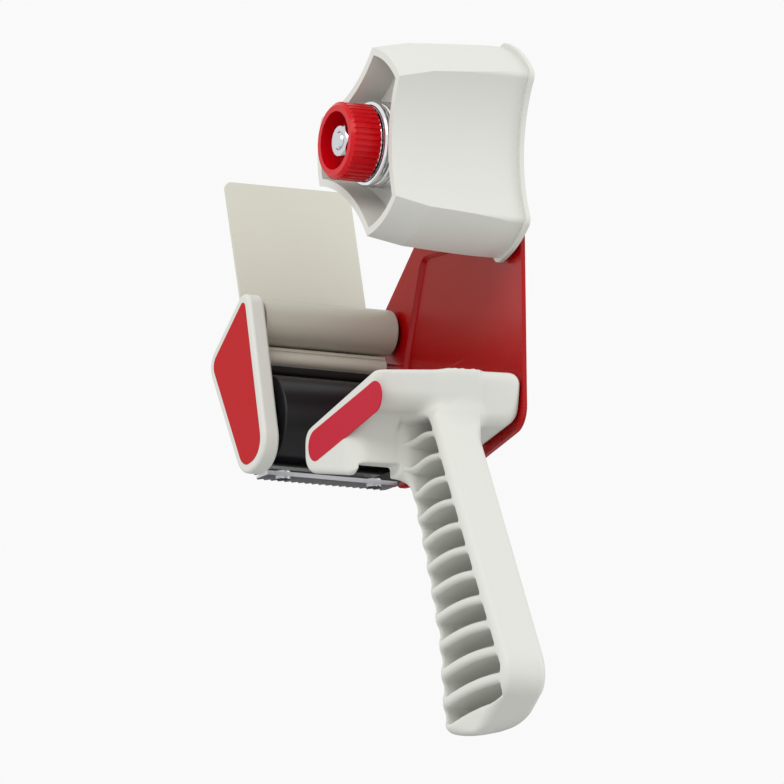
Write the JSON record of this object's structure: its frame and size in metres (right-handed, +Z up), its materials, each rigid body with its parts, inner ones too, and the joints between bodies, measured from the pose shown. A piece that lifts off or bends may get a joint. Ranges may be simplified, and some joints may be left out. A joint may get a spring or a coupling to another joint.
{
  "type": "tape dispenser",
  "caption": "Hand-held packing-tape dispenser: steel side plate, three-lobed tape hub with a tension knob, rollers, flap, blade and a pistol grip with ribbed pockets.",
  "frame": {"origin": "the pressing roller's axis where it meets the side plate's inner face", "axes": "+X towards the back of the hand, -X the front where the tape leaves, +Y towards the steel side plate, +Z up"},
  "size_m": [0.1522, 0.062, 0.2342],
  "materials": {
    "red_paint": "glossy red enamel",
    "white_plastic": "satin off-white",
    "red_plastic": "glossy red",
    "red_label": "satin red print",
    "black_rubber": "smooth black",
    "black_plastic": "black",
    "grey_plastic": "warm light grey",
    "flap_sheet": "satin warm light grey",
    "chrome": "bright chrome plate",
    "zinc": "bright zinc plate",
    "blade_steel": "ground spring steel"
  },
  "bodies": {
    "frame": {"frame_plate": "red_paint", "hub_stud": "zinc", "hub_plate_washer": "zinc", "brake_washer": "zinc", "press_roller_axle": "zinc", "press_roller_washers": "black_plastic", "guide_roller_axle": "zinc", "guide_roller_washers": "black_plastic", "flap_rod": "zinc", "tape_bar": "black_plastic", "side_guard": "white_plastic", "side_guard_label": "red_label", "guard_screw": "zinc", "axle_screws": "zinc", "handle": "white_plastic", "handle_label": "red_label", "handle_screws": "zinc", "blade_carrier": "chrome", "carrier_screws": "zinc", "blade": "blade_steel", "blade_rivets": "zinc", "tension_spring": "chrome"},
    "hub": {"tape_hub": "white_plastic"},
    "cup": {"spring_cup": "chrome"},
    "knob": {"tension_knob": "red_plastic", "knob_nut": "zinc"},
    "press_roller": {"press_roller_sleeve": "black_rubber", "press_roller_core": "black_plastic"},
    "guide_roller": {"guide_roller": "grey_plastic"},
    "flap": {"flap": "flap_sheet"}
  },
  "joints": [
    {"name": "hub_spin", "type": "hinge", "parent": "frame", "child": "hub", "pos_m": [0.0675, -0.025, 0.079], "axis": [0, -1, 0], "continuous": true},
    {"name": "cup_travel", "type": "slide", "parent": "frame", "child": "cup", "axis": [0, -1, 0], "range_m": [-0.001, 0.004], "deforming": ["tension_spring"]},
    {"name": "knob_turn", "type": "hinge", "parent": "cup", "child": "knob", "pos_m": [0.0675, -0.053, 0.079], "axis": [0, -1, 0], "range_deg": [-390, 1500]},
    {"name": "press_roller_spin", "type": "hinge", "parent": "frame", "child": "press_roller", "pos_m": [0, -0.0258, 0], "axis": [0, -1, 0], "continuous": true},
    {"name": "guide_roller_spin", "type": "hinge", "parent": "frame", "child": "guide_roller", "pos_m": [-0.005, -0.0258, 0.0335], "axis": [0, -1, 0], "continuous": true},
    {"name": "flap_swing", "type": "hinge", "parent": "frame", "child": "flap", "pos_m": [-0.005, -0.0258, 0.0221], "axis": [0, -1, 0], "range_deg": [0, 35], "stiffness_Nm_per_rad": 0.03, "springref_deg": -8.59}
  ],
  "couplings": [
    {"joint": "knob_turn", "follows": "cup_travel", "rad_per_m": 6283.2}
  ]
}
